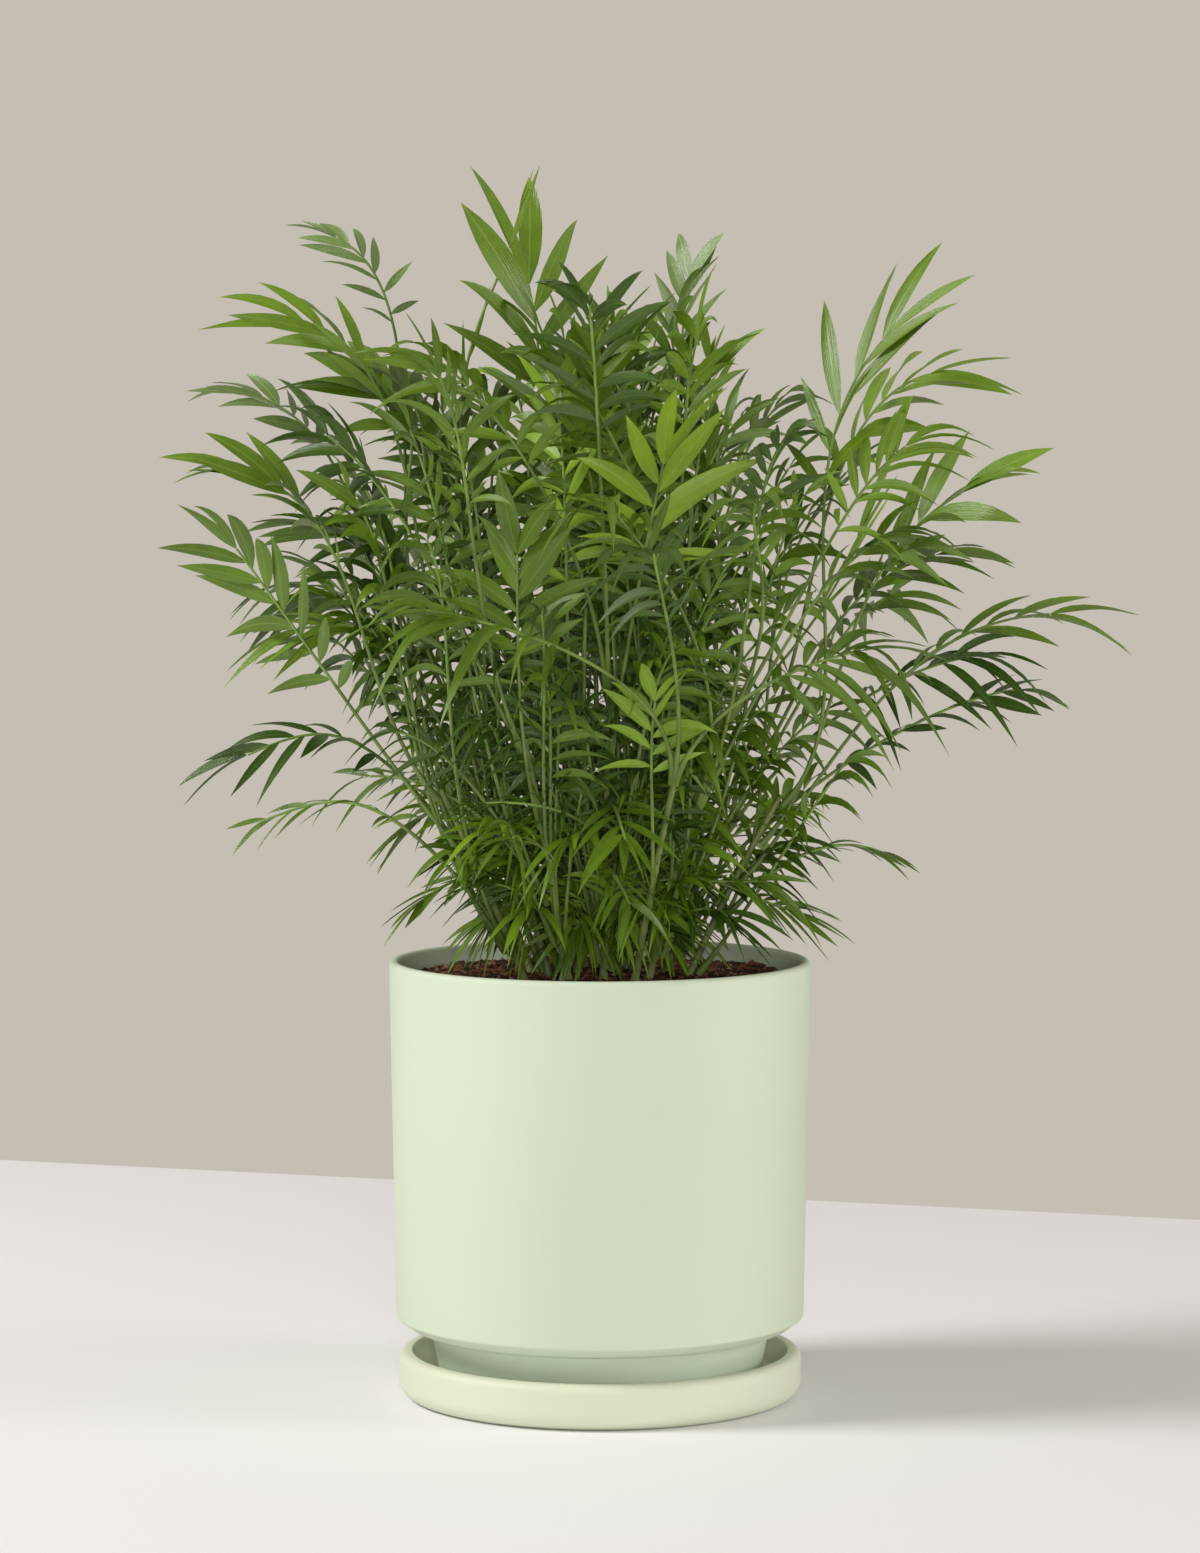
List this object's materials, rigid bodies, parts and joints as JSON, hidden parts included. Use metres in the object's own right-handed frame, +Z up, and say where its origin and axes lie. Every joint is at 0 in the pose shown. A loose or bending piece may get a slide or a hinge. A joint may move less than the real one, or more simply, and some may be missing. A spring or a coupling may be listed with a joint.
{
  "type": "parlour palm in a pot",
  "caption": "Bushy indoor palm clump in a round pot on a low saucer: slender canes, arching feathered fronds on every side, standing on the saucer's flat underside.",
  "frame": {"origin": "centre of the saucer's flat underside, on the surface that it stands on", "axes": "+Z up along the pot's axis, -Y towards the front of the view, +X to the right"},
  "size_m": [0.5926, 0.5342, 0.7535],
  "materials": {
    "pot": "matt glaze, pale mint",
    "saucer": "matt glaze, pale creamy mint",
    "soil": "rough, crumbly",
    "cane": "satin",
    "foliage": "satin"
  },
  "bodies": {
    "root": {"cane_01": "cane", "cane_02": "cane", "cane_03": "cane", "cane_04": "cane", "cane_05": "cane", "cane_06": "cane", "cane_07": "cane", "cane_08": "cane", "cane_09": "cane", "cane_10": "cane", "cane_11": "cane", "cane_12": "cane", "cane_13": "cane", "cane_14": "cane", "frond_01": "foliage", "frond_02": "foliage", "frond_03": "foliage", "frond_04": "foliage", "frond_05": "foliage", "frond_06": "foliage", "frond_07": "foliage", "frond_08": "foliage", "frond_09": "foliage", "frond_10": "foliage", "frond_11": "foliage", "frond_12": "foliage", "frond_13": "foliage", "frond_14": "foliage", "frond_15": "foliage", "frond_16": "foliage", "frond_17": "foliage", "frond_18": "foliage", "frond_19": "foliage", "frond_20": "foliage", "frond_21": "foliage", "frond_22": "foliage", "frond_23": "foliage", "frond_24": "foliage", "frond_25": "foliage", "frond_26": "foliage", "frond_27": "foliage", "frond_group_01": "foliage", "frond_group_02": "foliage", "frond_group_03": "foliage", "frond_group_04": "foliage", "frond_group_05": "foliage", "frond_group_06": "foliage", "frond_group_07": "foliage", "frond_group_08": "foliage", "frond_group_09": "foliage", "frond_group_10": "foliage", "frond_group_11": "foliage", "frond_group_12": "foliage", "frond_group_13": "foliage", "frond_group_14": "foliage", "frond_group_15": "foliage", "frond_group_16": "foliage", "pot": "pot", "saucer": "saucer", "soil": "soil"}
  },
  "joints": []
}
